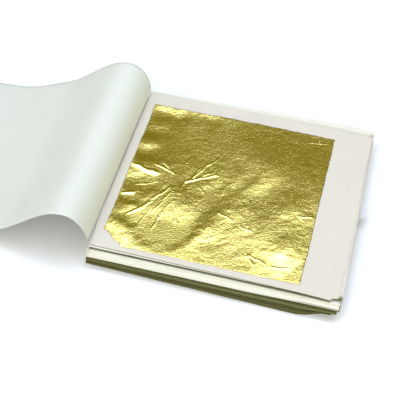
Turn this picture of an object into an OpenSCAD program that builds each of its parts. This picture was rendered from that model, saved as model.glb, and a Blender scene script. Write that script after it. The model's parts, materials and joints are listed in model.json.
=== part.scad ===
// Gold leaf booklet: thin sheets bound at a glued spine, one leaf of gold on each,
// with the first sheet turned over to the left.
// The origin is on the back cover's underside, below the middle of the sheets. The spine is
// on the -X side, the front edge is on the -Y side, and the sheets are stacked along +Z.

/* [Sheets] */
// Width of a sheet, from the spine to the fore-edge
sheet_w = 100; // [96:1:112]
// Depth of a sheet, along the spine
sheet_d = 90; // [87:1:103]
// Thickness of a sheet
sheet_t = 0.12; // [0.08:0.01:0.14]
// Height from one sheet to the next
pitch = 0.325; // [0.3:0.005:0.4]
// Thickness of the back cover
cover_t = 0.25; // [0.2:0.05:0.5]

/* [Gold leaf] */
// Side of a square leaf
leaf_side = 80; // [74:1:82]
// Thickness of a leaf
leaf_t = 0.03; // [0.02:0.01:0.04]
// Bare strip of the sheet between the spine and the leaf
spine_margin = 4.3; // [3:0.1:6]
// Bare strip of the sheet in front of the leaf
front_margin = 2.1; // [1.5:0.1:3]
// How far leaves are laid off their place at random
leaf_stray = 0.6; // [0:0.1:1]
// Height of the wrinkles that run out from the middle of the top leaf
wrinkle_h = 0.55; // [0.2:0.05:0.7]
// Number of those wrinkles
wrinkles = 11; // [7:1:15]
// Length of the corner that has broken off the top leaf
broken_x = 8.6; // [4:0.1:12]
// Depth of that corner
broken_y = 7; // [4:0.1:12]

/* [Wear] */
// How far the top sheet hangs down at the fore-edge
sag = 0.8; // [0:0.1:1.2]
// How far the lowest sheet's near corner curls up at the fore-edge
curl = 1.2; // [0:0.1:1.5]
// How far the top sheet's fore-edge has swung to the front
top_swing = 1.5; // [0:0.1:3]
// How far the second sheet stands out to the front
second_out = 0.9; // [0:0.1:2]
// Number of sheets under it that are set back
set_back_sheets = 3; // [1:1:5]
// How far they are set back at the spine
set_back = 0.5; // [0:0.1:1.5]
// How much farther they are set back at the fore-edge
set_back_swing = 1.9; // [0:0.1:3]
// How far the middle of the stack has slipped to the front
slump = 4; // [0:0.1:5]
// How far the lowest sheet's fore-edge has swung to the front
swing = 3; // [0:0.1:5]
// How far single sheets stray at random
stray = 0.45; // [0:0.05:0.8]
// Width of the nick in the top sheet's near corner, along its front edge
nick_w = 4; // [1:0.1:6]
// Depth of that nick
nick_d = 2.2; // [0.5:0.1:3]
// How far the lowest sheet's near corner is worn away
worn = 2.6; // [0:0.1:4]

/* [Turned sheet] */
// Height of the turned sheet's arch above its fold
arch_h = 14; // [10:0.5:18]
// Distance from the fold to the top of the arch
arch_x = 9.8; // [8:0.1:14]
// Distance from the fold to where the sheet meets the table
landing_x = 64.5; // [58:0.5:70]
// How far the turned sheet's fore-edge has swung to the front
turned_swing = 6.5; // [0:0.1:9]
// Room between the top sheet and the turned sheet's fold, for the wrinkled leaf
leaf_room = 0.9; // [0.8:0.05:1.2]

/* [Spine] */
// Thickness of the glue strip
glue_t = 0.4; // [0.3:0.05:0.8]
// Clearance between the glue strip and the sheets' folds
fold_clearance = 0.06; // [0.04:0.01:0.1]

/* [Paper slip] */
// Length of the slip, along the fore-edge
slip_d = 12; // [8:0.5:18]
// Width of the slip, across the fore-edge
slip_w = 11.4; // [8:0.2:14]
// Thickness of the slip
slip_t = 0.05; // [0.03:0.01:0.06]
// How far the slip sticks out of the stack
slip_out = 3.4; // [1:0.1:5]
// Distance from the middle of the stack to the slip's middle, along the spine
slip_y = 0.5; // [-20:0.5:30]
// Number of the sheet that the slip lies on
slip_sheet = 9; // [5:1:16]

/* [Hidden] */
// Number of sheets under the turned one, each with its own leaf
COUNT = 25;
SHEETS = [for (n = [1 : COUNT]) str("sheet_", n < 10 ? "0" : "", n)];
LEAVES = [for (n = [1 : COUNT]) str("leaf_", n < 10 ? "0" : "", n)];

paper_color = [0.94, 0.93, 0.88];
edge_color = [0.8, 0.78, 0.62];
turned_color = [0.88, 0.93, 0.91];
gold_color = [0.78, 0.68, 0.25];
slip_color = [0.72, 0.74, 0.88];
glue_color = [0.9, 0.88, 0.8];

spine_x = -sheet_w / 2;
front_y = -sheet_d / 2;
// Where the flat part of a sheet ends and its fore margin starts to hang
flat_w = spine_margin + leaf_side + 2 * leaf_stray;
fore_margin = sheet_w - flat_w;
// The lower half of the stack, from this share of its depth down, has its own swing
mid_stack = 0.5;
// The first sheet that has slipped to the front, below those that are set back
first_slipped = 3 + set_back_sheets;
// Where the worn corner of the low sheets begins, as a share of the width
worn_start = 0.84;

function smooth(t) = let (c = min(1, max(0, t))) c * c * (3 - 2 * c);
function jitter(n, salt) = rands(-1, 1, 1, n * 17 + salt)[0];

// Height of a sheet's middle plane, counted from the top sheet, number 1
function level(n) = cover_t + (COUNT - n + 0.5) * pitch;
// Depth of a sheet in the stack, from 0 at the top to 1 at the bottom
function depth(n) = (n - 1) / (COUNT - 1);
function low(n) = max(0, (depth(n) - mid_stack) / (1 - mid_stack));
fold_z = level(1) + leaf_room;

// How far a sheet has moved to the front at a share u of its width
function forward(n, u) =
    (n == 1 ? top_swing * u
        : n == 2 ? second_out
        : n < first_slipped ? -set_back - set_back_swing * u
        : slump * slipped(n) + swing * low(n) * (u - 0.3))
    + (n > 1 ? stray * jitter(n, 1) * (1 + u) - stray * jitter(n, 2) * u : 0);
// Share of the slump that a sheet has, from a half at the first slipped sheet to all in the middle
function slipped(n) =
    0.5 + 0.5 * min(1, (depth(n) - depth(first_slipped)) / (mid_stack - depth(first_slipped)));
function worn_back(n, u) = worn * low(n) * smooth((u - worn_start) / (1 - worn_start));
function front(n, u) = front_y - forward(n, u) + worn_back(n, u);
function rear(n, u) = front_y + sheet_d - forward(n, u) + (n > 1 ? stray * (1 + jitter(n, 3)) : 0);
// Width of a sheet at a share v of its depth
function width(n, v) =
    n == 1 ? sheet_w : sheet_w + stray * (1 + jitter(n, 4) + (v - 0.5) * jitter(n, 5));

// Height of a sheet's middle plane at a point u, v of it, with its hanging fore-edge
function sheet_z(n, x, u, v) =
    let (hang = max(0, x - spine_x - flat_w) / fore_margin,
         near = smooth(1 - v / 0.35))
    level(n) - sag * level(n) / level(1) * hang + curl * depth(n) * hang * near;

// Closed solid between two grids of points that face each other
module slab(upper, lower) {
    rows = len(upper);
    cols = len(upper[0]);
    size = rows * cols;
    function at(i, j) = i * cols + j;
    points = concat([for (row = upper) each row], [for (row = lower) each row]);
    tops = [for (i = [0 : rows - 2], j = [0 : cols - 2])
        each [[at(i, j), at(i, j + 1), at(i + 1, j + 1)], [at(i, j), at(i + 1, j + 1), at(i + 1, j)]]];
    bottoms = [for (f = tops) [f[2] + size, f[1] + size, f[0] + size]];
    rim = concat(
        [for (i = [0 : rows - 2]) at(i, 0)],
        [for (j = [0 : cols - 2]) at(rows - 1, j)],
        [for (i = [rows - 1 : -1 : 1]) at(i, cols - 1)],
        [for (j = [cols - 1 : -1 : 1]) at(0, j)]);
    sides = [for (k = [0 : len(rim) - 1])
        let (a = rim[k], b = rim[(k + 1) % len(rim)])
        each [[a, b, b + size], [a, b + size, a + size]]];
    polyhedron(points = points, faces = concat(tops, bottoms, sides), convexity = 6);
}

// Shares of the width and of the depth where a sheet has its points
flat_cells = 3;
fore_cells = 4;
function widths(n, v) =
    let (w = width(n, v))
    concat([for (i = [0 : flat_cells]) flat_w * i / flat_cells],
           [for (i = [1 : fore_cells]) flat_w + (w - flat_w) * i / fore_cells]);
depth_shares = [0, 0.06, 0.18, 0.35, 0.6, 0.8, 1];

function sheet_grid(n, lift) = [for (i = [0 : flat_cells + fore_cells])
    [for (v = depth_shares)
        let (x = spine_x + widths(n, v)[i],
             u = (x - spine_x) / sheet_w,
             y = front(n, u) + v * (rear(n, u) - front(n, u)))
        [x, y, sheet_z(n, x, u, v) + lift]]];

module sheet(n) {
    color(paper_color) slab(sheet_grid(n, sheet_t / 2), sheet_grid(n, -sheet_t / 2));
}

module top_sheet() {
    color(paper_color) difference() {
        slab(sheet_grid(1, sheet_t / 2), sheet_grid(1, -sheet_t / 2));
        translate([spine_x + sheet_w, front(1, 1), level(1) - sag - pitch])
            linear_extrude(sag + 2 * pitch)
                polygon([[-nick_w, -1], [1, -1], [1, nick_d], [0, nick_d], [-nick_w, nick_d / 2]]);
    }
}

// Corner of a leaf that is nearest to the spine and to the front
function leaf_x(n) = spine_x + spine_margin + (n > 1 ? leaf_stray * (1 + jitter(n, 6)) : 0);
function leaf_y(n) = max(front(n, 0), front(n, flat_w / sheet_w)) + front_margin;

module flat_leaf(n) {
    color(gold_color)
        translate([leaf_x(n), leaf_y(n), level(n) + sheet_t / 2]) cube([leaf_side, leaf_side, leaf_t]);
}

// Height of the top leaf's wrinkles at a point of it, each a share of its side
wrinkle_centre = [0.3, 0.49];
function wrinkle(s, t) =
    let (p = [s, t] - wrinkle_centre,
         r = norm(p),
         a = atan2(p[1], p[0]),
         ray = pow(0.5 + 0.5 * cos(wrinkles * a + 140 * r + 40 * sin(2 * a)), 2),
         swell = 0.5 + 0.5 * sin(360 * (0.9 * s - 0.5 * t)) * cos(250 * t),
         fade = exp(-pow(r / 0.42, 2)))
    wrinkle_h * (0.75 * ray * fade * smooth(r / 0.12) + 0.25 * swell);

leaf_cells = 24;
function leaf_grid(lift) = [for (i = [0 : leaf_cells])
    [for (j = [0 : leaf_cells])
        let (s = i / leaf_cells, t = j / leaf_cells)
        [leaf_x(1) + s * leaf_side, leaf_y(1) + t * leaf_side,
         level(1) + sheet_t / 2 + leaf_t + wrinkle(s, t) + lift]]];

module top_leaf() {
    color(gold_color) difference() {
        slab(leaf_grid(0), leaf_grid(-leaf_t));
        translate([leaf_x(1), leaf_y(1), level(1)])
            linear_extrude(4 * leaf_room)
                polygon([[-1, -1], [broken_x * (1 + 1 / broken_y), -1], [-1, broken_y * (1 + 1 / broken_x)]]);
    }
}

// Point of a cubic curve
function bezier(p, t) =
    pow(1 - t, 3) * p[0] + 3 * pow(1 - t, 2) * t * p[1] + 3 * (1 - t) * t * t * p[2] + pow(t, 3) * p[3];
// The turned sheet's curve runs from its fold over the arch to the table, as distances from the fold
drop = fold_z - sheet_t / 2;
shoulder = [-37, -1.9];
rise_curve = [[0, 0], [0.3, arch_h / 2], [-0.36 * arch_x, arch_h], [-arch_x, arch_h]];
fall_curve = [[-arch_x, arch_h], [-1.96 * arch_x, arch_h], [0.75 * shoulder[0], 1.6], shoulder];
land_curve = [shoulder, [-54, 4.4 * shoulder[1]], [-0.81 * landing_x, -drop], [-landing_x, -drop]];
curve_steps = 9;
curved = concat(
    [for (i = [0 : curve_steps]) bezier(rise_curve, i / curve_steps)],
    [for (i = [1 : curve_steps]) bezier(fall_curve, i / curve_steps)],
    [for (i = [1 : curve_steps]) bezier(land_curve, i / curve_steps)]);
function length_to(k) = k == 0 ? 0 : length_to(k - 1) + norm(curved[k] - curved[k - 1]);
curved_length = length_to(len(curved) - 1);
flat_end = curved[len(curved) - 1] - [sheet_w - curved_length, 0];
turned_line = concat(curved, [flat_end]);

// Direction square to the turned sheet's line at one of its points, away from the table
function square_to(k) =
    let (a = turned_line[max(0, k - 1)],
         b = turned_line[min(len(turned_line) - 1, k + 1)],
         d = (b - a) / norm(b - a))
    [d[1], -d[0]] * -1;
function turned_point(k, side, v) =
    let (p = turned_line[k] + side * sheet_t / 2 * square_to(k),
         swung = turned_swing * turned_line[k][0] / -sheet_w,
         y = front_y - swung + v * sheet_d)
    [spine_x + p[0], y, fold_z + p[1]];
function turned_grid(side) = [for (k = [len(turned_line) - 1 : -1 : 0])
    [for (v = [0, 0.5, 1]) turned_point(k, side, v)]];

module turned_sheet() {
    color(turned_color) slab(turned_grid(1), turned_grid(-1));
}

module back_cover() {
    color(edge_color) translate([spine_x, 0, 0]) linear_extrude(cover_t)
        polygon([for (corner = [[0, 0], [worn_start, 0], [1, 0], [1, 1], [0, 1]])
            [corner[0] * sheet_w,
             corner[1] == 0 ? front(COUNT, corner[0]) : rear(COUNT, corner[0])]]);
}

// The strip ends at the second sheet, so that the top sheet clears it as the sheets fan
module spine_glue() {
    color(glue_color)
        translate([spine_x - fold_clearance - glue_t, rear(COUNT, 0) - sheet_d, 0])
            cube([glue_t, sheet_d, level(2) + sheet_t / 2]);
}

// The slip lies between two sheets, clear of the leaf, and slopes with their fore margin.
// Its outer end narrows to a tip on the far side.
slip_gap = (pitch * (1 - sag / level(1)) - sheet_t - leaf_t - slip_t) / 2;
slip_tucked = slip_w - slip_out;
slip_cells = 6;
slip_places = concat([for (k = [0 : slip_cells]) slip_tucked * (k / slip_cells - 1)], [slip_out]);
tip_near = 0.75;
tip_far = 0.1;
function slip_point(place, v) =
    let (narrowed = max(0, place) / slip_out,
         share = tip_near * narrowed + v * (1 - (tip_near + tip_far) * narrowed),
         x = spine_x + sheet_w + place,
         y = slip_y + slip_d * (share - 0.5))
    [x, y, sheet_z(slip_sheet, x, 1, (y - front_y) / sheet_d)];
function slip_grid(lift) = [for (place = slip_places)
    [for (v = [0, 1]) slip_point(place, v) + [0, 0, sheet_t / 2 + leaf_t + slip_gap + lift]]];

module slip() {
    color(slip_color) slab(slip_grid(slip_t), slip_grid(0));
}

back_cover();
spine_glue();
turned_sheet();
slip();
top_sheet();
for (n = [2 : COUNT])
    sheet(n);
top_leaf();
for (n = [2 : COUNT])
    flat_leaf(n);
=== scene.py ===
"""The looks of a gold leaf booklet: thin sheets glued at the spine, a crinkled leaf of
gold on each, and the first sheet turned over to the left in an arch."""

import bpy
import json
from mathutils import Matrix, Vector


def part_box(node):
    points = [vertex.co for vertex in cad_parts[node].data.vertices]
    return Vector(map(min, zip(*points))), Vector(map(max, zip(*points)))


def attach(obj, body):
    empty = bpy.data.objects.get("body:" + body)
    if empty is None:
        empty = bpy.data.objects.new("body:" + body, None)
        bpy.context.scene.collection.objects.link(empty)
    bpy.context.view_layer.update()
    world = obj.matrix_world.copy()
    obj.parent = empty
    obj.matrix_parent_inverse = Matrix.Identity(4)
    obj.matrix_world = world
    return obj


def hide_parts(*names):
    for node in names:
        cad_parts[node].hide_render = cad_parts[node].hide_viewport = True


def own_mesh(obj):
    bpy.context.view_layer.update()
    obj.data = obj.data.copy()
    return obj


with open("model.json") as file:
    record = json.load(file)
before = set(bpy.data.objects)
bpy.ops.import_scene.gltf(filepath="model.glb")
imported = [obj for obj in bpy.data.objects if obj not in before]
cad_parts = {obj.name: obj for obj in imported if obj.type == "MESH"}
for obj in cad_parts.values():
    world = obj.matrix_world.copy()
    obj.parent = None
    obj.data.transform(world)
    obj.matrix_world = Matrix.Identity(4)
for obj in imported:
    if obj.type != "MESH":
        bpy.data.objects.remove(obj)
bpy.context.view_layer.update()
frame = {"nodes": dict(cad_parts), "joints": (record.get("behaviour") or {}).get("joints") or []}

import json
import math

import bpy
import numpy as np
from mathutils import Matrix, Vector

MM = 0.001
COUNT = 25
JOINTS = {joint["name"]: joint for joint in frame["joints"]}


# Places that the frame gives

sheet_low, sheet_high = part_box("sheet_01")
leaf_low, leaf_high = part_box("leaf_01")
cover_low, cover_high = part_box("back_cover")
turned_low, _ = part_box("turned_sheet")
SPINE_X = sheet_low.x
LEAF_SIDE = leaf_high.x - leaf_low.x
FOLD_Z = JOINTS["turned_sheet_turn"]["pos_m"][2]
TOP_PITCH = JOINTS["top_sheet_turn"]["pos_m"][2] - JOINTS["page_fan"]["pos_m"][2]


# Sizes that the solids have and the frame doesn't state

SHEET_FRONT = -45.0 * MM
SHEET_DEPTH = 90.0 * MM
TOP_SWING = 1.5 * MM  # how far the top sheet's fore-edge has swung to the front
LEAF_STRAY = 0.6 * MM
FLAT_END_X = leaf_high.x + 2 * LEAF_STRAY  # where a sheet's fore margin starts to hang
NICK_X = 46.84 * MM  # where the nick in the top sheet's near corner begins
GRID_COLUMNS, GRID_ROWS = 8, 7  # points of a sheet's grid

# How thick the drawn sheets and leaves are

SHEET_THICKNESS = 0.07 * MM
TOP_FOIL = 0.02 * MM
LOWER_FOIL = 0.015 * MM


def node_name(kind, number):
    return f"{kind}_{number:02d}"


def depth_of(number):
    """How deep a sheet lies in the stack, from 0 at the top to 1 at the bottom."""
    return (number - 1) / (COUNT - 1)


# Noise that is the same on every run

LATTICE = 64


def value_noise(x, y, seed):
    """Smooth noise from -1 to 1 at points x, y, one lattice cell per unit."""
    lattice = np.random.default_rng(seed).uniform(-1, 1, (LATTICE, LATTICE))
    column, row = np.floor(x).astype(int), np.floor(y).astype(int)
    s, t = x - column, y - row
    s, t = s**3 * (s * (6 * s - 15) + 10), t**3 * (t * (6 * t - 15) + 10)

    def corner(i, j):
        return lattice[(column + i) % LATTICE, (row + j) % LATTICE]

    near = corner(0, 0) * (1 - s) + corner(1, 0) * s
    far = corner(0, 1) * (1 - s) + corner(1, 1) * s
    return near * (1 - t) + far * t


def layered_noise(x, y, seed, octaves):
    """Noise of several sizes, each half as large and half as strong as the one before."""
    total, size = 0, 0
    for octave in range(octaves):
        gain = 0.5**octave
        total = total + gain * value_noise(x * 2**octave, y * 2**octave, seed + octave)
        size += gain
    return total / size


def smooth(t):
    """A soft step from 0 to 1 while t goes from 0 to 1."""
    t = np.clip(t, 0, 1)
    return t * t * (3 - 2 * t)


# Meshes


def add_object(name, data):
    obj = bpy.data.objects.new(name, data)
    bpy.context.scene.collection.objects.link(obj)
    return obj


def mesh_piece(name, points, faces, material, body, stands_for):
    """A smooth mesh that rides on a body and stands for nodes of the frame."""
    mesh = bpy.data.meshes.new(name)
    mesh.from_pydata(points, [], faces)
    mesh.update()
    piece = add_object(name, mesh)
    mesh.materials.append(material)
    for polygon in mesh.polygons:
        polygon.use_smooth = True
    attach(piece, body)
    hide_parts(*stands_for)
    return piece


def slab(upper, lower, keep=None):
    """Points and faces of the closed thin solid between two grids of points.
    keep says which of the grid's cells are there."""
    rows, columns = upper.shape[:2]
    if keep is None:
        keep = np.ones((rows - 1, columns - 1), bool)
    size = rows * columns
    points = np.concatenate([upper.reshape(-1, 3), lower.reshape(-1, 3)])
    faces = []
    sides = {}
    for i, j in zip(*np.nonzero(keep)):
        a, b = i * columns + j, i * columns + j + 1
        c, d = a + columns + 1, a + columns
        faces.append((a, d, c, b))
        faces.append((a + size, b + size, c + size, d + size))
        for edge in ((a, d), (d, c), (c, b), (b, a)):
            if (edge[1], edge[0]) in sides:
                del sides[edge[1], edge[0]]
            else:
                sides[edge] = True
    faces += [(b, a, a + size, b + size) for a, b in sides]
    used = np.unique(np.array([v for face in faces for v in face]))
    renumber = -np.ones(2 * size, int)
    renumber[used] = np.arange(len(used))
    return points[used].tolist(), [tuple(int(renumber[v]) for v in face) for face in faces]


def level_slab(grid, thickness):
    """The slab of the given thickness that hangs below a grid of points."""
    return grid, grid - np.array([0, 0, thickness])


def set_attribute(piece, name, upper, lower):
    """Gives the points of a whole slab a number each, from its upper and its lower grid."""
    values = np.concatenate([upper.ravel(), lower.ravel()])
    attribute = piece.data.attributes.new(name, "FLOAT", "POINT")
    attribute.data.foreach_set("value", values.astype(np.float32))


# Material helpers


def new_material(name):
    material = bpy.data.materials.new(name)
    material.use_nodes = True
    tree = material.node_tree
    tree.nodes.clear()
    output = tree.nodes.new("ShaderNodeOutputMaterial")
    shader = tree.nodes.new("ShaderNodeBsdfPrincipled")
    tree.links.new(shader.outputs[0], output.inputs[0])
    return material, tree, shader, output


def feed(tree, socket, value):
    """Links another node's output to the socket, or sets a colour or a number on it."""
    if isinstance(value, bpy.types.NodeSocket):
        tree.links.new(value, socket)
    else:
        socket.default_value = (*value, 1) if hasattr(value, "__len__") else value


def position(tree, scale=(1, 1, 1)):
    """The surface's place in metres, in the object's own coordinates, stretched by scale."""
    coordinates = tree.nodes.new("ShaderNodeTexCoord")
    mapping = tree.nodes.new("ShaderNodeMapping")
    mapping.inputs["Scale"].default_value = scale
    tree.links.new(coordinates.outputs["Object"], mapping.inputs["Vector"])
    return mapping.outputs[0]


def noise_node(tree, vector, scale, detail, roughness=0.5, distortion=0.0):
    node = tree.nodes.new("ShaderNodeTexNoise")
    node.inputs["Scale"].default_value = scale
    node.inputs["Detail"].default_value = detail
    node.inputs["Roughness"].default_value = roughness
    node.inputs["Distortion"].default_value = distortion
    tree.links.new(vector, node.inputs["Vector"])
    return node.outputs["Fac"]


def ramp(tree, value, stops):
    """Colours or grey levels at the given places between 0 and 1."""
    node = tree.nodes.new("ShaderNodeValToRGB")
    while len(node.color_ramp.elements) < len(stops):
        node.color_ramp.elements.new(0.5)
    for element, (place, color) in zip(node.color_ramp.elements, stops):
        element.position = place
        element.color = (*color, 1) if hasattr(color, "__len__") else (color, color, color, 1)
    tree.links.new(value, node.inputs[0])
    return node.outputs[0]


def clouded(tree, cloud, deep, light):
    """A tone that drifts between two colours with soft noise."""
    return ramp(tree, cloud, [(0.3, deep), (0.7, light)])


def mix_color(tree, share, first, second, blend="MIX"):
    node = tree.nodes.new("ShaderNodeMix")
    node.data_type = "RGBA"
    node.blend_type = blend
    feed(tree, node.inputs[0], share)
    feed(tree, node.inputs[6], first)
    feed(tree, node.inputs[7], second)
    return node.outputs[2]


def maths(tree, operation, first, second=0.0):
    node = tree.nodes.new("ShaderNodeMath")
    node.operation = operation
    feed(tree, node.inputs[0], first)
    feed(tree, node.inputs[1], second)
    return node.outputs[0]


def mix_shader(tree, share, first, second):
    node = tree.nodes.new("ShaderNodeMixShader")
    feed(tree, node.inputs[0], share)
    tree.links.new(first, node.inputs[1])
    tree.links.new(second, node.inputs[2])
    return node.outputs[0]


def attribute_node(tree, name):
    node = tree.nodes.new("ShaderNodeAttribute")
    node.attribute_name = name
    return node.outputs["Fac"]


def bump(tree, shader, height, distance, strength):
    node = tree.nodes.new("ShaderNodeBump")
    node.inputs["Distance"].default_value = distance
    node.inputs["Strength"].default_value = strength
    tree.links.new(height, node.inputs["Height"])
    tree.links.new(node.outputs[0], shader.inputs["Normal"])


def let_light_through(tree, shader, output, color, share):
    """Mixes in light from the far side, as thin paper has."""
    through = tree.nodes.new("ShaderNodeBsdfTranslucent")
    tree.links.new(color, through.inputs["Color"])
    mixed = mix_shader(tree, share, shader.outputs[0], through.outputs[0])
    tree.links.new(mixed, output.inputs[0])


# Materials

# The page's colour, then painted light for the lit rims of the sheets and painted shade, olive as the
# gold between them, for their edges in shade; the same three for the turned sheet, whose painted
# light lies on its arch and which gets no painted shade
PAGE_WHITE, CREAM_PAINTED_LIGHT, OLIVE_PAINTED_SHADE = (0.795, 0.743, 0.648), (0.93, 0.915, 0.785), (0.14, 0.137, 0.027)
COOL_WHITE, COOL_SHADE, COOL_PAINTED_LIGHT = (0.74, 0.752, 0.678), (0.55, 0.56, 0.48), (0.87, 0.90, 0.845)
CARD_GREY, SPECK_BROWN = (0.62, 0.60, 0.50), (0.35, 0.32, 0.25)
GOLD_TONES = (0.78, 0.645, 0.175), (0.82, 0.675, 0.205)
LAVENDER_TONES = (0.71, 0.68, 0.73), (0.80, 0.77, 0.80)
GLUE_TONES = (0.80, 0.78, 0.67), (0.88, 0.86, 0.77)


def tissue_material(name, color, painted_shade_color, painted_light_color, share_through):
    """Thin paper with faint fibres and specks; the attribute edge mixes in painted shade and the
    attribute pale painted light.
    """
    material, tree, shader, output = new_material(name)
    place = position(tree)
    cloud = noise_node(tree, place, scale=60, detail=4)
    stretched = position(tree, (1, 4, 1))
    fibres = noise_node(tree, stretched, scale=700, detail=5, roughness=0.7, distortion=1.5)
    specks = noise_node(tree, place, scale=430, detail=1)
    darker = tuple(0.97 * c for c in color)
    tone = clouded(tree, cloud, darker, color)
    fine = ramp(tree, fibres, [(0.35, 0.97), (0.65, 1.0)])
    fibrous = mix_color(tree, 1.0, tone, fine, blend="MULTIPLY")
    speck = ramp(tree, specks, [(0.78, 0.0), (0.8, 1.0)])
    spotted = mix_color(tree, maths(tree, "MULTIPLY", speck, 0.5), fibrous, SPECK_BROWN)
    with_painted_light = mix_color(tree, attribute_node(tree, "pale"), spotted, painted_light_color)
    with_painted_shade = mix_color(tree, attribute_node(tree, "edge"), with_painted_light, painted_shade_color)
    tree.links.new(with_painted_shade, shader.inputs["Base Color"])
    shader.inputs["Roughness"].default_value = 0.75
    shader.inputs["Specular IOR Level"].default_value = 0.25
    bump(tree, shader, maths(tree, "ADD", fibres, cloud), distance=0.03 * MM, strength=0.6)
    let_light_through(tree, shader, output, with_painted_shade, share_through)
    return material


def gold_material():
    """Polished metal with a fine crinkle and a roughness that varies a little."""
    material, tree, shader, _ = new_material("gold_leaf_metal")
    cloud = noise_node(tree, position(tree), scale=90, detail=3)
    tree.links.new(clouded(tree, cloud, *GOLD_TONES), shader.inputs["Base Color"])
    shader.inputs["Metallic"].default_value = 1.0
    stretched = position(tree, (1, 1.5, 1))
    grain = noise_node(tree, stretched, scale=1500, detail=4, roughness=0.6, distortion=0.5)
    rough = ramp(tree, grain, [(0.3, 0.065), (0.7, 0.115)])
    tree.links.new(rough, shader.inputs["Roughness"])
    stretched = position(tree, (1, 1.4, 1))
    crinkle = noise_node(tree, stretched, scale=1500, detail=2, roughness=0.55, distortion=0.5)
    bump(tree, shader, crinkle, distance=0.055 * MM, strength=0.9)
    return material


def slip_material():
    """Matte lavender paper."""
    material, tree, shader, _ = new_material("slip_paper_lavender")
    place = position(tree)
    cloud = noise_node(tree, place, scale=150, detail=3)
    tree.links.new(clouded(tree, cloud, *LAVENDER_TONES), shader.inputs["Base Color"])
    shader.inputs["Roughness"].default_value = 0.7
    grain = noise_node(tree, place, scale=900, detail=4, roughness=0.7)
    bump(tree, shader, grain, distance=0.02 * MM, strength=0.5)
    return material


def glue_material():
    """Dried glue with faint lines along the sheets' edges."""
    material, tree, shader, _ = new_material("padding_glue_dried")
    cloud = noise_node(tree, position(tree), scale=120, detail=4)
    tree.links.new(clouded(tree, cloud, *GLUE_TONES), shader.inputs["Base Color"])
    shader.inputs["Roughness"].default_value = 0.35
    shader.inputs["Specular IOR Level"].default_value = 0.5
    lines = noise_node(tree, position(tree, (1, 0.05, 8)), scale=400, detail=3, roughness=0.6)
    bump(tree, shader, maths(tree, "ADD", lines, cloud), distance=0.12 * MM, strength=0.8)
    return material


TISSUE = tissue_material("page_tissue", PAGE_WHITE, OLIVE_PAINTED_SHADE, CREAM_PAINTED_LIGHT, share_through=0.06)
TURNED = tissue_material("turned_tissue", COOL_WHITE, COOL_SHADE, COOL_PAINTED_LIGHT, share_through=0.05)
COVER = tissue_material("cover_stock", CARD_GREY, OLIVE_PAINTED_SHADE, CREAM_PAINTED_LIGHT, share_through=0.0)
GOLD = gold_material()
SLIP = slip_material()
GLUE = glue_material()


# Sheets of the stack

# The last sheet cut off at the nick, the last one of those set back, and the first one
# whose edges are wholly dark with painted shade
LAST_NICKED, LAST_SET_BACK, FIRST_DARK = 3, 5, 13

# The drawn sheets' grid, with two columns close together where the nick begins
COLUMNS, ROWS = 60, 56
NICK_SHARES = [0.9675, 0.969]
NICK_EDGE_Y, NICK_SLOPE = -45.65 * MM, 0.24

# How ragged the edges are: coarse and fine along the front, and at the fore-edge
FRONT_RAG, FINE_RAG, FORE_RAG = 0.12 * MM, 0.05 * MM, 0.2 * MM

# How far the spine leans at its near end, how far the fore-edge's near and far corners are
# drawn in, how far the lowest one is worn back, and how far the sheets lie out of plane
LEAN, NEAR_DRAWN_IN, FAR_DRAWN_IN = 1.1 * MM, 2.8 * MM, 0.6 * MM
WORN_BACK, BUNCHING = 1.0 * MM, 0.04 * MM

# How far in from a sheet's edge its swelling and its painted shade and light reach, in millimetres,
# and
# how dark the painted shade is: on front edges, on fore-edges, in the nick and under the step
RIM = 2.5
FRONT_SHADE, FORE_SHADE, NICK_SHADE, STEP_SHADE = 0.95, 0.45, 0.95, 0.92


def grid_of(node):
    """The middle surface of a sheet in the frame, as its grid of points."""
    points = np.array([v.co for v in frame["nodes"][node].data.vertices])
    keys = np.round(points[:, :2] / (0.01 * MM)).astype(int)
    _, first, inverse = np.unique(keys, axis=0, return_index=True, return_inverse=True)
    inverse = inverse.ravel()
    middle = points[first].copy()
    for k in range(len(first)):
        z = points[inverse == k, 2]
        middle[k, 2] = (z.min() + z.max()) / 2
    middle = middle[np.argsort(middle[:, 0], kind="stable")].reshape(GRID_COLUMNS, GRID_ROWS, 3)
    return np.stack([column[np.argsort(column[:, 1])] for column in middle])


def sheet_grid(number):
    """The sheet's middle surface. The top sheet has a nick, so that its grid is made anew."""
    if number > 1:
        return grid_of(node_name("sheet", number))
    second = grid_of(node_name("sheet", 2))
    grid = second.copy()
    share = (second[..., 0] - second[..., 0].min()) / np.ptp(second[..., 0])
    along = (second[..., 1] - second[:, :1, 1]) / (second[:, -1:, 1] - second[:, :1, 1])
    grid[..., 0] = sheet_low.x + share * (sheet_high.x - sheet_low.x)
    grid[..., 1] = sheet_high.y - share * TOP_SWING - (1 - along) * SHEET_DEPTH
    grid[..., 2] = second[..., 2] + TOP_PITCH
    return grid


def resample(grid, u, v):
    """The same surface at shares u of its width and v of its depth."""

    def along(values, shares):
        lengths = np.linalg.norm(np.diff(values.mean(1), axis=0), axis=1)
        marks = np.concatenate([[0], np.cumsum(lengths)])
        result = np.empty((len(shares), *values.shape[1:]))
        for j in range(values.shape[1]):
            for k in range(3):
                result[:, j, k] = np.interp(shares * marks[-1], marks, values[:, j, k])
        return result

    grid = along(grid, u)
    return along(grid.transpose(1, 0, 2), v).transpose(1, 0, 2)


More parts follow.
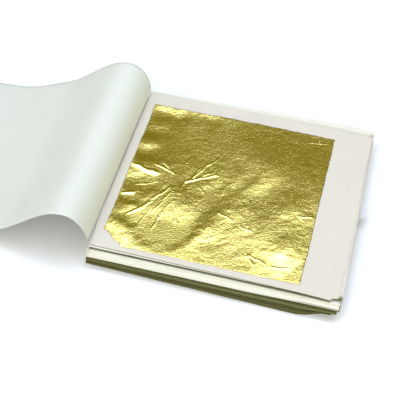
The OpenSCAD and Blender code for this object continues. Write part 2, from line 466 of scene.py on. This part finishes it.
def page_wave(x, y, lift):
    """Cockling that all the sheets share; lift is 1 for the top one and 0 for the lowest."""
    broad_height, small_height, edge_height = 0.09, 0.03, 0.16
    from_spine = smooth((x - SPINE_X) / (12 * MM))
    broad = value_noise(x / (38 * MM), y / (33 * MM), seed=11)
    small = value_noise(x / (14 * MM), y / (17 * MM), seed=12)
    to_edge = smooth((x - FLAT_END_X + 10 * MM) / (24 * MM))
    ripple = np.sin(y / (9.5 * MM) + 1.3) * 0.5 + value_noise(y / (8 * MM), x * 0, seed=13)
    height = broad_height * broad + small_height * small + edge_height * to_edge * ripple
    return from_spine * lift * MM * height


def spine_lean(depth, v):
    """How far the near end of the spine leans over towards the fore-edge."""
    return LEAN * (1 - depth) * (1 - smooth(v / 0.2))


def towards_edges(count, power=1.6):
    """Shares from 0 to 1 that lie closer together at both ends."""
    t = np.linspace(-1, 1, count)
    return 0.5 + 0.5 * np.sign(t) * (1 - (1 - np.abs(t)) ** power)


def near_line(x):
    """Where the near edge of the top sheets runs beyond the nick in their corner."""
    return np.where(x > NICK_X, NICK_EDGE_Y + (x - NICK_X) * NICK_SLOPE, -1.0)


def shaped_grid(number):
    """The middle surface of a sheet with its ragged edges, leaning spine and cockling."""
    depth = depth_of(number)
    u = np.sort(np.append(towards_edges(COLUMNS - len(NICK_SHARES)), NICK_SHARES))
    v = towards_edges(ROWS)
    grid = resample(sheet_grid(number), u, v)
    u, v = u[:, None], v[None, :]
    x, y = grid[..., 0].copy(), grid[..., 1].copy()

    # Ragged front edge and fore-edge
    rag = FRONT_RAG * value_noise(u * 7 + number, v * 0 + 0.5, seed=40 + number)
    rag = rag + FINE_RAG * value_noise(u * 23, v * 0 + 0.5, seed=80 + number)
    rag = rag * (0.3 if LAST_SET_BACK < number < FIRST_DARK else 1)
    fore_rag = FORE_RAG * value_noise(v * 9 + number, u * 0 + 0.5, seed=120 + number)
    grid[..., 1] += rag * (1 - smooth(v / 0.12)) * smooth(u / 0.05)
    grid[..., 0] += fore_rag * smooth((u - 0.9) / 0.1)

    # Leaning spine, and the corners of the fore-edge drawn in, the near one more so lower down
    near_drawn_in = NEAR_DRAWN_IN * max(0, (depth - 0.45) / 0.55) ** 0.6
    near_drawn_in += 0.35 * MM if number == 1 else -0.05 * MM
    grid[..., 0] += spine_lean(depth, v) * (1 - smooth(u / 0.12))
    grid[..., 0] -= near_drawn_in * (1 - smooth(v / 0.4)) * smooth((u - 0.85) / 0.15)
    if number > 1:
        grid[..., 0] -= FAR_DRAWN_IN * smooth((u - 0.9) / 0.1) * smooth((v - 0.3) / 0.5)
    worn = smooth((depth - 0.5) / 0.5) * smooth((u - 0.8) / 0.2) * (1 - v) ** 2
    grid[..., 1] += WORN_BACK * worn

    if number <= LAST_NICKED:
        cut = np.maximum(0, near_line(grid[:, :1, 0]) - grid[:, :1, 1])
        grid[..., 1] += cut * (1 - smooth(v / 0.15))

    # Cockling, and how closely the sheets lie together
    bunch = value_noise(u * 2.5 + number * 0.37, v * 1.5 + number * 0.11, seed=160)
    grid[..., 2] += page_wave(x, y, 1 - depth)
    grid[..., 2] += bunch * BUNCHING * smooth(u / 0.1)
    return grid


def from_edges(place):
    """How far the points of a grid lie from its front edge, back edge and fore-edge."""
    edges = (place[:, :1], place[:, -1:], place[-1:])
    return [np.linalg.norm(place - edge, axis=-1) for edge in edges]


def near_edges(place):
    """Shares that fall from 1 to 0 within the rim of each edge."""
    return [1 - smooth(distance / RIM) for distance in from_edges(place)]


def swelling(number):
    """How much thicker a sheet's rim is, in millimetres, which closes the gaps at the edges."""
    if number <= 2:
        return 0.2
    if number <= LAST_SET_BACK:
        return 0.17
    return 0.23 if number < FIRST_DARK else 0.1


def painted_shade_and_light(number, grid):
    """How much painted shade a sheet's edges get above and below, and how much painted light above,
    from 0 to 1.
    """
    place = grid / MM
    x, y = grid[..., 0], grid[..., 1]
    from_front, from_back, from_fore = from_edges(place)
    near_front, near_back, near_fore = near_edges(place)
    in_nick = smooth((place[..., 0] - NICK_X / MM) / 0.3)
    from_spine = 0.5 + 0.5 * smooth((place[..., 0] + 50) / 20)
    # Painted shade on the fore-edges
    fore = near_fore * FORE_SHADE * (1 - near_front) * (1 - near_back)

    if number <= 2:
        # Painted shadow in the gap under the top two sheets' front edges, and painted shade in the
        # nick
        below = near_front
        dark = near_front * 0
        dark[:, 0] = 0.5 * (number == 1)
        dark = np.maximum(dark, in_nick * near_front * (1.0 if number == 2 else from_front < 0.01))
    elif number <= LAST_SET_BACK:
        # Painted shade on the front edges and fore-edges of the set-back sheets, and in the nick
        dark = np.maximum(near_front * FRONT_SHADE * from_spine, fore)
        in_cut = in_nick * near_front * (number == LAST_NICKED)
        dark = dark * (1 - in_nick * (number > LAST_NICKED)) + (1 - dark) * in_cut
        recess = (y - near_line(x)) / MM
        shaded = in_nick * smooth(recess / 0.4 + 0.9) * (1 - smooth(recess - 1))
        dark = np.maximum(dark, NICK_SHADE * shaded * (number == LAST_NICKED + 1))
        below = dark
    else:
        # Painted shade on the lower sheets' edges, the dark olive band along the stack's front
        closest = np.minimum(np.minimum(from_front, from_back), from_fore)
        band_shade = 1 - smooth((closest - 1.2) / 2.5)
        near_right = smooth((place[..., 0] + 5) / 50) * (1 - smooth((from_front - 2) / 4))
        share = np.clip(number + 1 - (FIRST_DARK - 2.6 * near_right), 0, 1)
        band_shade_depth = 0.94 if FIRST_DARK < number < COUNT - 1 else 1.0
        dark = share * band_shade * band_shade_depth + (1 - share) * fore
        below = dark

    if number == LAST_SET_BACK + 1:
        # The shade in the step under the second sheet's front edge
        second = sheet_grid(2)[:, 0]
        recess = (y - np.interp(x, second[:, 0], second[:, 1])) / MM
        shaded = smooth(recess / 0.35 + 0.7) * (1 - smooth(recess / 2 - 1))
        dark = np.maximum(dark, STEP_SHADE * from_spine * shaded * (1 - in_nick))

    # Painted light on the lit front and back rims of the middle sheets
    front_share = 0.4 if number == 2 else 1.0
    pale = np.maximum(near_front * front_share, near_back) * (2 <= number < FIRST_DARK)
    return dark, below, pale


def build_sheet(number):
    """A page, swollen at its edges, which get painted shade and, on some sheets, painted light."""
    name = node_name("sheet", number)
    body = node_name("page", number)
    grid = shaped_grid(number)
    rim = np.max(near_edges(grid / MM), axis=0)
    upper = grid + np.array([0, 0, SHEET_THICKNESS / 2])
    lower = grid - np.array([0, 0, SHEET_THICKNESS / 2])
    lower[..., 2] -= swelling(number) * MM * rim
    points, faces = slab(upper, lower)
    piece = mesh_piece(f"{name}_paper", points, faces, TISSUE, body, [name])
    dark, below, pale = painted_shade_and_light(number, grid)
    set_attribute(piece, "edge", dark, below)
    set_attribute(piece, "pale", pale, pale)


def build_cover():
    """The back cover, a thicker sheet under the stack, shaped like the lowest page."""
    upper = shaped_grid(COUNT)
    upper[..., 0] = np.clip(upper[..., 0], cover_low.x, cover_high.x)
    upper[..., 1] = np.clip(upper[..., 1], cover_low.y, cover_high.y)
    lower = upper.copy()
    upper[..., 2] = cover_high.z
    lower[..., 2] = cover_low.z
    points, faces = slab(upper, lower)
    name, body, slot = "back_cover_card", "cover", "cover_paper"
    piece = mesh_piece(name, points, faces, COVER, body, ["back_cover"])
    # Painted shade on the cover's edges
    rim = np.max(near_edges(upper / MM), axis=0)
    set_attribute(piece, "edge", rim, rim)
    set_attribute(piece, "pale", 0 * rim, 0 * rim)


for number in range(1, COUNT + 1):
    build_sheet(number)
build_cover()


# Gold leaves

LEAF_Z = sheet_high.z + 0.01 * MM  # just above the top sheet
BROKEN_X, BROKEN_Y = 8.6, 7.0  # sides of the corner that has broken off, in millimetres

# Creases of the top leaf, most of which run out from a pinch in it: ends in millimetres
# from the leaf's near corner, half width and height
CREASES = [
    ((25.6, 40.6), (34.6, 56.0), 0.34, 0.13),
    ((34.2, 53.0), (35.2, 59.6), 0.30, 0.06),
    ((26.4, 42.0), (29.2, 50.4), 0.30, 0.08),
    ((24.0, 38.9), (30.4, 43.4), 0.50, 0.20),
    ((29.6, 42.8), (37.6, 46.4), 0.55, 0.13),
    ((28.2, 42.4), (34.0, 47.6), 0.30, 0.07),
    ((18.8, 42.7), (7.6, 46.2), 0.42, 0.15),
    ((18.2, 43.8), (12.0, 47.6), 0.32, 0.10),
    ((16.6, 45.6), (12.8, 48.6), 0.26, 0.06),
    ((12.6, 40.6), (0.0, 43.4), 1.00, 0.26),
    ((13.4, 36.2), (6.6, 33.2), 0.34, 0.08),
    ((9.4, 34.0), (2.0, 32.0), 0.30, 0.06),
    ((6.4, 28.6), (0.0, 26.8), 0.80, 0.20),
    ((9.6, 29.6), (1.0, 28.6), 0.26, 0.06),
    ((19.2, 35.0), (12.6, 24.6), 0.34, 0.12),
    ((13.6, 24.8), (5.4, 15.4), 0.50, 0.17),
    ((14.6, 25.6), (10.0, 19.0), 0.30, 0.10),
    ((21.6, 33.6), (17.6, 26.6), 0.30, 0.10),
    ((18.0, 26.0), (15.2, 19.2), 0.30, 0.09),
    ((15.0, 22.0), (12.0, 11.8), 0.30, 0.07),
    ((19.6, 21.4), (17.6, 10.6), 0.42, 0.10),
    ((24.0, 39.0), (23.2, 31.6), 0.36, 0.13),
    ((22.8, 28.0), (20.2, 22.6), 0.30, 0.07),
    ((23.2, 25.6), (24.4, 18.0), 0.30, -0.08),
    ((24.9, 22.4), (27.2, 17.0), 0.30, -0.08),
    ((19.4, 20.6), (18.8, 14.0), 0.26, -0.07),
    ((29.8, 38.0), (34.0, 34.8), 0.28, 0.08),
    ((24.6, 41.8), (25.2, 56.0), 0.22, 0.035),
    ((21.0, 43.6), (19.4, 58.0), 0.24, 0.03),
    ((41.6, 26.6), (48.0, 23.2), 0.36, 0.08),
    ((50.0, 23.0), (58.6, 19.6), 0.36, 0.07),
    ((57.6, 8.8), (62.0, 3.8), 0.42, 0.13),
    ((58.4, 8.8), (66.8, 5.2), 0.36, 0.10),
    ((67.6, 5.4), (75.8, 6.2), 0.45, 0.12),
    ((69.2, 74.6), (80.0, 76.9), 0.28, 0.07),
    ((73.0, 33.0), (80.0, 34.0), 0.50, 0.10),
    ((6.0, 51.8), (11.0, 48.6), 0.3, 0.05),
]

# Swells of the top leaf: middle, reach along and across, angle of the long side in degrees,
# and how far the light thrown back turns there, in degrees, up for bright and down for dark
SWELLS = [
    ((5.0, 77.8), (8.0, 3.2), -8, 18.5),
    ((28.0, 45.0), (16.0, 12.0), 0, -2.4),
    ((14.0, 79.2), (5.0, 1.5), -6, 6.0),
    ((26.0, 79.0), (7.0, 1.8), -4, 8.0),
    ((17.0, 57.0), (12.0, 12.0), 0, -4.5),
    ((34.0, 46.4), (5.0, 2.4), 34, 2.0),
    ((72.0, 28.0), (10.0, 8.0), 20, 4.4),
    ((50.0, 24.0), (10.0, 6.0), 10, 2.4),
    ((4.0, 72.3), (6.5, 1.6), 4, -5.0),
    ((15.5, 74.5), (2.6, 3.0), 10, -5.0),
    ((5.0, 66.4), (6.0, 2.6), 2, 12.0),
    ((1.5, 60.4), (3.0, 2.0), 0, -4.0),
    ((4.0, 54.4), (4.6, 3.0), 20, 13.0),
    ((4.0, 47.2), (8.5, 1.7), 12, -6.0),
    ((3.0, 42.2), (8.0, 2.2), -10, 13.0),
    ((3.0, 37.4), (7.0, 3.2), 6, 13.0),
    ((13.0, 31.6), (4.5, 2.0), 10, -6.0),
    ((2.0, 27.0), (5.0, 1.4), 4, 8.0),
    ((5.0, 23.0), (8.0, 1.6), 4, -7.0),
    ((5.0, 17.5), (6.5, 3.0), 30, 5.5),
    ((5.5, 12.4), (6.0, 2.2), -24, -5.5),
    ((19.0, 6.4), (11.0, 3.0), -12, -4.5),
    ((21.5, 44.0), (3.2, 9.0), 6, -6.0),
    ((22.0, 36.0), (4.0, 4.5), 0, -5.0),
    ((27.5, 32.0), (6.5, 5.0), 20, -8.5),
    ((32.0, 41.0), (3.0, 2.2), 40, -5.0),
    ((25.0, 24.0), (6.0, 3.2), 0, -4.5),
    ((36.6, 22.0), (3.3, 11.0), -10, -14.0),
    ((32.0, 9.0), (2.6, 6.5), -22, -9.0),
    ((42.0, 13.0), (4.5, 9.0), -18, 3.5),
    ((47.0, 4.5), (6.0, 2.0), -10, -1.5),
    ((37.0, 41.0), (6.4, 1.5), 48, 4.0),
    ((45.0, 43.0), (7.0, 2.2), 62, 3.5),
    ((50.4, 45.0), (6.0, 1.5), 70, -4.0),
    ((56.4, 46.6), (7.5, 4.6), 84, 8.5),
    ((61.0, 50.4), (4.5, 2.0), 40, 2.0),
    ((48.0, 31.0), (8.0, 3.0), 10, -2.5),
    ((58.5, 26.0), (4.0, 4.5), -20, -3.5),
    ((66.0, 40.0), (2.6, 9.0), -32, -2.5),
    ((71.0, 33.0), (8.0, 3.0), 10, 4.5),
    ((67.0, 21.0), (4.0, 2.6), 0, -1.0),
    ((78.6, 35.4), (2.0, 1.0), 0, -8.0),
    ((74.0, 9.0), (9.0, 9.0), 20, 6.5),
    ((51.0, 57.0), (12.0, 4.0), 0, 1.0),
    ((74.0, 64.0), (8.0, 9.0), 0, -2.0),
    ((60.0, 68.0), (28.0, 12.0), -2, -1.0),
    ((62.0, 12.0), (24.0, 13.0), 8, 2.6),
    ((18.0, 18.0), (10.0, 6.0), 0, 1.6),
    ((56.0, 40.0), (26.0, 10.0), 22, 1.2),
    ((24.0, 8.0), (17.0, 8.0), -6, -6.5),
    ((30.0, 1.0), (22.0, 4.0), -6, -6.0),
    ((40.0, 2.0), (46.0, 7.0), 0, -2.6),
    ((18.0, 2.2), (11.0, 2.6), -14, -7.0),
    ((6.0, 5.4), (8.0, 2.8), -38, 13.0),
    ((76.0, 45.0), (7.0, 7.0), 0, 1.5),
]

# How much broader and lower than listed the creases are
CREASE_BREADTH, CREASE_GAIN = 1.6, 0.85

# In height_for: the wave number that keeps long waves low, how much the sideways part of a
# wave counts, and the margin round the leaf in millimetres
LEAST_WAVE, SIDEWAYS_SHARE, MARGIN = 0.05, 0.12, 12


def crease_height(x, y):
    """Height of the creases at points x, y of the leaf, in millimetres."""
    total = np.zeros_like(x)
    wander_x = 0.5 * value_noise(x / 3.5, y / 3.5, seed=301)
    wander_y = 0.5 * value_noise(x / 3.5, y / 3.5, seed=302)
    for (x0, y0), (x1, y1), half_width, height in CREASES:
        dx, dy = x1 - x0, y1 - y0
        length = math.hypot(dx, dy)
        along = ((x + wander_x - x0) * dx + (y + wander_y - y0) * dy) / length**2
        aside = ((x + wander_x - x0) * dy - (y + wander_y - y0) * dx) / length
        taper = smooth((along + 0.05) / 0.15) * smooth((1.05 - along) / 0.35)
        ridge = np.maximum(0, 1 - np.abs(aside) / (CREASE_BREADTH * half_width)) ** 1.5
        total = total + CREASE_GAIN * height * ridge * taper
    return total


def height_for(turn, step):
    """Height whose slopes towards the back edge turn the light by the given degrees."""
    margin = int(MARGIN / step)
    slope = np.pad(np.tan(np.radians(turn / 2)), margin, mode="edge")
    wave_x = 2 * math.pi * np.fft.fftfreq(slope.shape[0], step)[:, None]
    wave_y = 2 * math.pi * np.fft.fftfreq(slope.shape[1], step)[None, :]
    share = -1j * wave_y / (wave_y**2 + SIDEWAYS_SHARE * wave_x**2 + LEAST_WAVE**2)
    height = np.fft.ifft2(np.fft.fft2(slope) * share).real
    return height[margin:-margin, margin:-margin]


def swell_height(x, y):
    """Height of the swells listed above."""
    turn = np.zeros_like(x)
    warp_x = x + 1.0 * value_noise(x / 4, y / 4, seed=303)
    warp_y = y + 0.8 * value_noise(x / 4, y / 4, seed=304)
    for (x0, y0), (reach, breadth), angle, degrees in SWELLS:
        c, s = math.cos(math.radians(angle)), math.sin(math.radians(angle))
        along = ((warp_x - x0) * c + (warp_y - y0) * s) / reach
        aside = ((warp_y - y0) * c - (warp_x - x0) * s) / breadth
        turn += degrees * np.exp(-(along**2) - aside**2)
    return height_for(turn, y[0, 1] - y[0, 0])


def streak_height(x, y):
    """Height of fine slanting streaks and patches, stronger towards the near edge."""
    u, v = 0.77 * x + 0.64 * y, 0.77 * y - 0.64 * x
    streaks = value_noise(u / 5 + 3, v / 2.2 + 20, seed=308)
    streaks = streaks + 0.7 * value_noise(u / 2.2, v / 1.3 + 20, seed=309)
    patches = value_noise(x / 3.0, y / 2.2, seed=310)
    patches = patches + 1.2 * value_noise(x / 0.9 + 7, y / 0.75 + 7, seed=311)
    strength = 0.8 + 1.4 * smooth((66 - y) / 24) + 1.0 * smooth((22 - y) / 14)
    return height_for(strength * (0.8 * streaks + 0.6 * patches), y[0, 1] - y[0, 0])


def crinkle_height(x, y):
    """Fine folds of beaten metal, in millimetres."""
    warp_x = x + 0.5 * value_noise(x / 2.2, y / 2.2, seed=305)
    warp_y = y + 0.5 * value_noise(x / 2.2, y / 2.2, seed=306)
    total = np.zeros_like(x)
    for k, (size, height) in enumerate(((2.4, 0.009), (1.1, 0.009), (0.6, 0.008))):
        lean = 0.5 + 0.2 * k
        u = (warp_x * math.cos(lean) + warp_y * math.sin(lean)) / (1.5 * size)
        v = (warp_y * math.cos(lean) - warp_x * math.sin(lean)) / size
        total += height * (1 - 2 * np.abs(value_noise(u + 9, v + 9, seed=320 + k)))
    strength = 1 + 0.35 * value_noise(x / 13, y / 11, seed=307)
    return total * strength


def leaf_height(x, y):
    """Height of the top leaf above its sheet, in millimetres, at points of the leaf."""
    lowest, softness = 0.03, 0.05
    lying = 0.15 + 0.85 * np.minimum(1, (LEAF_SIDE / MM - x) / 9) * np.minimum(1, y / 12)
    far_corner = smooth((16 - x) / 14) * smooth((y - 68) / 8)
    near_corner = smooth((x - 56) / 16) * (1 - smooth((y - 14) / 34))
    dip = np.exp(-(((x - 25) / 11) ** 2)) * (1 - smooth((y - 8) / 20))
    base = 0.38 + 0.3 * far_corner + 0.4 * near_corner - 0.25 * dip
    relief = (base + swell_height(x, y)) * lying + streak_height(x, y) + crinkle_height(x, y)
    return lowest + softness * np.logaddexp(0, relief / softness) + crease_height(x, y)


def build_top_leaf(cells=290):
    """The crinkled leaf with torn edges and a missing corner."""
    side = np.linspace(0, LEAF_SIDE / MM, cells + 1)
    x, y = np.meshgrid(side, side, indexing="ij")
    height = leaf_height(x, y)
    rag_x = 0.12 * value_noise(y / 1.3, x * 0, seed=331) + 0.1 * value_noise(y / 5, x * 0, seed=332)
    rag_y = 0.12 * value_noise(x / 1.3, y * 0, seed=333) + 0.1 * value_noise(x / 5, y * 0, seed=334)
    place_x = leaf_low.x + (x + rag_x) * MM
    place_y = leaf_low.y + (y + rag_y) * MM
    base = LEAF_Z + page_wave(place_x, place_y, 1.0)
    upper = np.stack([place_x, place_y, base + height * MM], -1)
    cell_x, cell_y = x[:-1, :-1], y[:-1, :-1]
    broken = cell_x / BROKEN_X + cell_y / BROKEN_Y
    broken += 0.1 * value_noise(cell_x / 1.5, cell_y / 1.5, seed=340)
    points, faces = slab(*level_slab(upper, TOP_FOIL), keep=broken > 1)
    mesh_piece("leaf_01_foil", points, faces, GOLD, "top_leaf", ["leaf_01"])


def build_leaf(number, cells=24):
    """A leaf below the top one, lying on its own sheet."""
    name = node_name("leaf", number)
    body = node_name("page", number)
    low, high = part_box(node_name("leaf", number))
    across, along = np.linspace(low.x, high.x, cells + 1), np.linspace(low.y, high.y, cells + 1)
    x, y = np.meshgrid(across, along, indexing="ij")
    relief_height, clearance, rag_width = 0.03 * MM, 0.03 * MM, 0.2 * MM
    relief = 1 + layered_noise(x / (3 * MM), y / (3 * MM), seed=400 + number, octaves=2)
    rag = rag_width * value_noise(x / (2 * MM), y / (2 * MM), seed=430 + number)
    z = low.z + page_wave(x, y, 1 - depth_of(number)) + relief_height * relief + clearance
    upper = np.stack([x + rag, y - rag, z], -1)
    points, faces = slab(*level_slab(upper, LOWER_FOIL))
    mesh_piece(f"{name}_foil", points, faces, GOLD, body, [name])


build_top_leaf()
for number in range(2, COUNT + 1):
    build_leaf(number)


# The turned sheet

# Its line in millimetres from the fold, as the solid has it: the top of the arch, the
# shoulder in its slope down and where it meets the table; half the sheet's thickness; and
# how far the fore-edge has swung to the front over the sheet's width
ARCH_X, ARCH_HEIGHT = 9.8, 14.0
SHOULDER = (-37, -1.9)
LANDING_X = 64.5
HALF_SHEET = 0.06
TURNED_SWING, SHEET_WIDTH = 6.5, 100

# Its broad and small ripples and the waves of its front and back edges, in millimetres
BROAD_RIPPLE, SMALL_RIPPLE, EDGE_WAVE = 0.45, 0.1, 0.15
ABOVE_TABLE = 0.08 * MM


def bezier(p, t):
    """Points at t, from 0 to 1, of the curve with four control points."""
    p = np.array(p)
    t = t[:, None]
    return (1 - t) ** 3 * p[0] + 3 * (1 - t) ** 2 * t * p[1] + 3 * (1 - t) * t**2 * p[2] + t**3 * p[3]


def turned_line(steps=40):
    """Distances from the fold, in millimetres, along the turned sheet."""
    drop = FOLD_Z / MM - HALF_SHEET
    t = np.linspace(0, 1, steps)
    crest = (-ARCH_X, ARCH_HEIGHT)
    landing = (-LANDING_X, -drop)
    rise = bezier([(0, 0), (0.3, ARCH_HEIGHT / 2), (-0.36 * ARCH_X, ARCH_HEIGHT), crest], t)
    fall = bezier([crest, (-1.96 * ARCH_X, ARCH_HEIGHT), (0.75 * SHOULDER[0], 1.6), SHOULDER], t)
    land = bezier([SHOULDER, (-54, 4.4 * SHOULDER[1]), (-0.81 * LANDING_X, -drop), landing], t)
    end_x = (turned_low.x - SPINE_X) / MM
    flat_x = np.linspace(-LANDING_X, end_x, steps // 2)
    flat = np.stack([flat_x, np.full(steps // 2, -drop)], -1)
    return np.concatenate([rise, fall[1:], land[1:], flat[1:]])


def build_turned_sheet(rows=60):
    """The first sheet in its arch, with faint ripples and slightly wavy edges."""
    line = turned_line()
    ahead = np.roll(line, -1, 0)
    behind = np.roll(line, 1, 0)
    ahead[-1], behind[0] = line[-1], line[0]
    direction = (ahead - behind) / np.linalg.norm(ahead - behind, axis=1)[:, None]
    square = np.stack([direction[:, 1], -direction[:, 0]], -1)
    v = np.linspace(0, 1, rows)[None, :]
    lengths = np.linalg.norm(np.diff(line, axis=0), axis=1)
    distance = np.concatenate([[0], np.cumsum(lengths)])[:, None]

    swung = TURNED_SWING * MM * line[:, :1] / -SHEET_WIDTH
    y = SHEET_FRONT - swung + v * SHEET_DEPTH
    y = y + EDGE_WAVE * MM * value_noise(distance / 9, v * 0, seed=501) * (1 - 2 * v)
    broad = value_noise(distance / 26, v * 3.1, seed=502)
    small = value_noise(distance / 9, v * 8, seed=503)
    ripple = broad * BROAD_RIPPLE + small * SMALL_RIPPLE
    ripple = ripple * smooth(distance / 14) * (1 - 0.75 * smooth((-line[:, :1] - 50) / 12))
    surface_x = SPINE_X + (line[:, :1] + square[:, :1] * ripple) * MM
    surface_z = FOLD_Z + (line[:, 1:] + square[:, 1:] * ripple) * MM
    surface_z = np.maximum(surface_z, ABOVE_TABLE)
    middle = np.stack([surface_x, y, surface_z], -1)
    offset = np.stack([square[:, 0], 0 * square[:, 0], square[:, 1]], -1)[:, None, :]
    offset = offset * SHEET_THICKNESS / 2

    points, faces = slab((middle + offset)[::-1], (middle - offset)[::-1])
    name, body, slot = "turned_sheet_paper", "turned", "turned_tissue"
    piece = mesh_piece(name, points, faces, TURNED, body, ["turned_sheet"])
    # Painted light on the arch from its crest down to the fold
    crest = 0.6 * smooth((surface_x / MM + 67) / 9)[::-1]
    set_attribute(piece, "edge", 0 * crest, 0 * crest)
    set_attribute(piece, "pale", crest, crest)
    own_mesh(piece)


build_turned_sheet()


# The glue along the spine


def build_glue(rows=60, levels=30):
    """A thin lumpy strip that leans with the spine."""
    low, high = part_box("spine_glue")
    v = np.linspace(0, 1, rows)[None, :]
    up = np.linspace(0, 1, levels)[:, None]
    lump_height, overlap = 0.08 * MM, 0.05 * MM
    lumps = lump_height * layered_noise(v * 14, up * 3, seed=601, octaves=3)
    lean = spine_lean(1 - up, v)
    y = low.y + v * (high.y - low.y) + up * 0
    z = low.z + up * (high.z - low.z) + v * 0
    inner = np.stack([SPINE_X + overlap + lean, y, z], -1)
    outer = np.stack([low.x + lump_height + lean + lumps, y, z], -1)
    points, faces = slab(outer, inner)
    mesh_piece("spine_glue_strip", points, faces, GLUE, "cover", ["spine_glue"])


build_glue()


# The slip keeps the frame's own shape


def dress(node, material):
    obj = frame["nodes"][node]
    obj.data.materials.clear()
    obj.data.materials.append(material)


dress("slip", SLIP)


# Floor, light and camera

FLOOR_SIZE, FLOOR_Z = 4.0, -0.05 * MM
FLOOR_BOUNCE, FLOOR_SEEN, FLOOR_GLOW = (0.34, 0.34, 0.34), (1.0, 1.0, 1.0), 0.1

# The sky by height, from 0 at the horizon to 1 overhead: its colours behind the booklet,
# its levels all round, and how strong the softbox behind is that the leaf mirrors, which
# ends at both sides
DIM, WARM = (0.25, 0.235, 0.07), (0.37, 0.36, 0.15)
EVEN, COOL = (0.48, 0.48, 0.44), (0.66, 0.71, 0.88)
SKY_BEHIND = [(0.0, DIM), (0.68, DIM), (0.765, WARM), (0.785, EVEN), (0.82, COOL)]
SKY_ROUND = [(0.0, 1.5), (0.3, 1.62), (0.6, 1.05), (1.0, 0.66)]
SKY_BLUE_SHARE = 0.93
BOX_LOWER = [(0.775, 0.0), (0.8, 0.07), (0.83, 0.2), (0.87, 0.6)]
BOX_UPPER = [(0.9, 1.0), (0.96, 1.0), (0.975, 0.0)]
BOX_WIDTH = [(0.42, 1.0), (0.6, 0.0)]
BOX_COLOR, BOX_STRENGTH = (0.74, 0.835, 1.05), 5.9


def floor():
    """A white floor that keeps the booklet's shadow and throws little light up at it."""
    material, tree, shader, output = new_material("floor_white")
    tree.nodes.remove(shader)
    path = tree.nodes.new("ShaderNodeLightPath")
    seen = maths(tree, "MAXIMUM", path.outputs["Is Camera Ray"], path.outputs["Is Glossy Ray"])
    seen = maths(tree, "MAXIMUM", seen, path.outputs["Is Transmission Ray"])
    diffuse = tree.nodes.new("ShaderNodeBsdfDiffuse")
    tree.links.new(mix_color(tree, seen, FLOOR_BOUNCE, FLOOR_SEEN), diffuse.inputs["Color"])
    white = tree.nodes.new("ShaderNodeEmission")
    glow = maths(tree, "MULTIPLY", seen, FLOOR_GLOW)
    mixed = mix_shader(tree, glow, diffuse.outputs[0], white.outputs[0])
    tree.links.new(mixed, output.inputs[0])
    mesh = bpy.data.meshes.new("floor")
    corners = [(-1, -1), (1, -1), (1, 1), (-1, 1)]
    points = [(x * FLOOR_SIZE, y * FLOOR_SIZE, FLOOR_Z) for x, y in corners]
    mesh.from_pydata(points, [], [(0, 1, 2, 3)])
    mesh.materials.append(material)
    obj = add_object("floor", mesh)


def sky():
    """A broad soft light, brightest low down in front and at the sides, dim and warm behind
    the booklet, and with a cool softbox high up there."""
    world = bpy.data.worlds.new("studio")
    bpy.context.scene.world = world
    world.use_nodes = True
    tree = world.node_tree
    tree.nodes.clear()
    output = tree.nodes.new("ShaderNodeOutputWorld")
    coordinates = tree.nodes.new("ShaderNodeTexCoord")
    parts = tree.nodes.new("ShaderNodeSeparateXYZ")
    tree.links.new(coordinates.outputs["Generated"], parts.inputs[0])
    up = parts.outputs["Z"]

    backwards = maths(tree, "ADD", maths(tree, "MULTIPLY", parts.outputs["Y"], 2.0), 0.5)
    behind = ramp(tree, backwards, [(0.0, 0.0), (1.0, 1.0)])
    colors_behind = ramp(tree, up, SKY_BEHIND)
    levels = [(place, (level, level, SKY_BLUE_SHARE * level)) for place, level in SKY_ROUND]
    all_round = ramp(tree, up, levels)
    background = tree.nodes.new("ShaderNodeBackground")
    tree.links.new(mix_color(tree, behind, all_round, colors_behind), background.inputs["Color"])
    background.inputs["Strength"].default_value = 1.0

    height = ramp(tree, up, BOX_LOWER + BOX_UPPER)
    aside = maths(tree, "ABSOLUTE", maths(tree, "ADD", parts.outputs["X"], 0.1))
    width = ramp(tree, aside, BOX_WIDTH)
    boxed = maths(tree, "MULTIPLY", maths(tree, "MULTIPLY", height, width), behind)
    softbox = tree.nodes.new("ShaderNodeBackground")
    softbox.inputs["Color"].default_value = (*BOX_COLOR, 1.0)
    tree.links.new(maths(tree, "MULTIPLY", boxed, BOX_STRENGTH), softbox.inputs["Strength"])

    both = tree.nodes.new("ShaderNodeAddShader")
    tree.links.new(background.outputs[0], both.inputs[0])
    tree.links.new(softbox.outputs[0], both.inputs[1])
    tree.links.new(both.outputs[0], output.inputs[0])


def camera():
    """The photograph's view, solved from the leaf's corners."""
    azimuth, elevation, roll = (math.radians(angle) for angle in (13.03, 48.82, 1.74))
    distance = 432.4 * MM
    focal_share = 1065.5 / 400  # focal length as a share of the picture's width
    sensor = 36
    target = Vector((leaf_low.x + 32.7 * MM, leaf_low.y + 31.4 * MM, sheet_high.z + 0.15 * MM))
    level = math.cos(elevation)
    back = Vector((math.sin(azimuth) * level, -math.cos(azimuth) * level, math.sin(elevation)))
    right = Vector((math.cos(azimuth), math.sin(azimuth), 0))
    up = back.cross(right)
    turned_right = right * math.cos(roll) + up * math.sin(roll)
    turned_up = up * math.cos(roll) - right * math.sin(roll)
    data = bpy.data.cameras.new("camera")
    data.sensor_width = sensor
    data.lens = sensor * focal_share
    data.clip_start, data.clip_end = 0.01, 20
    obj = add_object("camera", data)
    turn = Matrix((turned_right, turned_up, back)).transposed()
    obj.matrix_world = Matrix.Translation(target + back * distance) @ turn.to_4x4()
    bpy.context.scene.camera = obj


floor()
sky()
camera()
bpy.context.scene.view_settings.view_transform = "Standard"
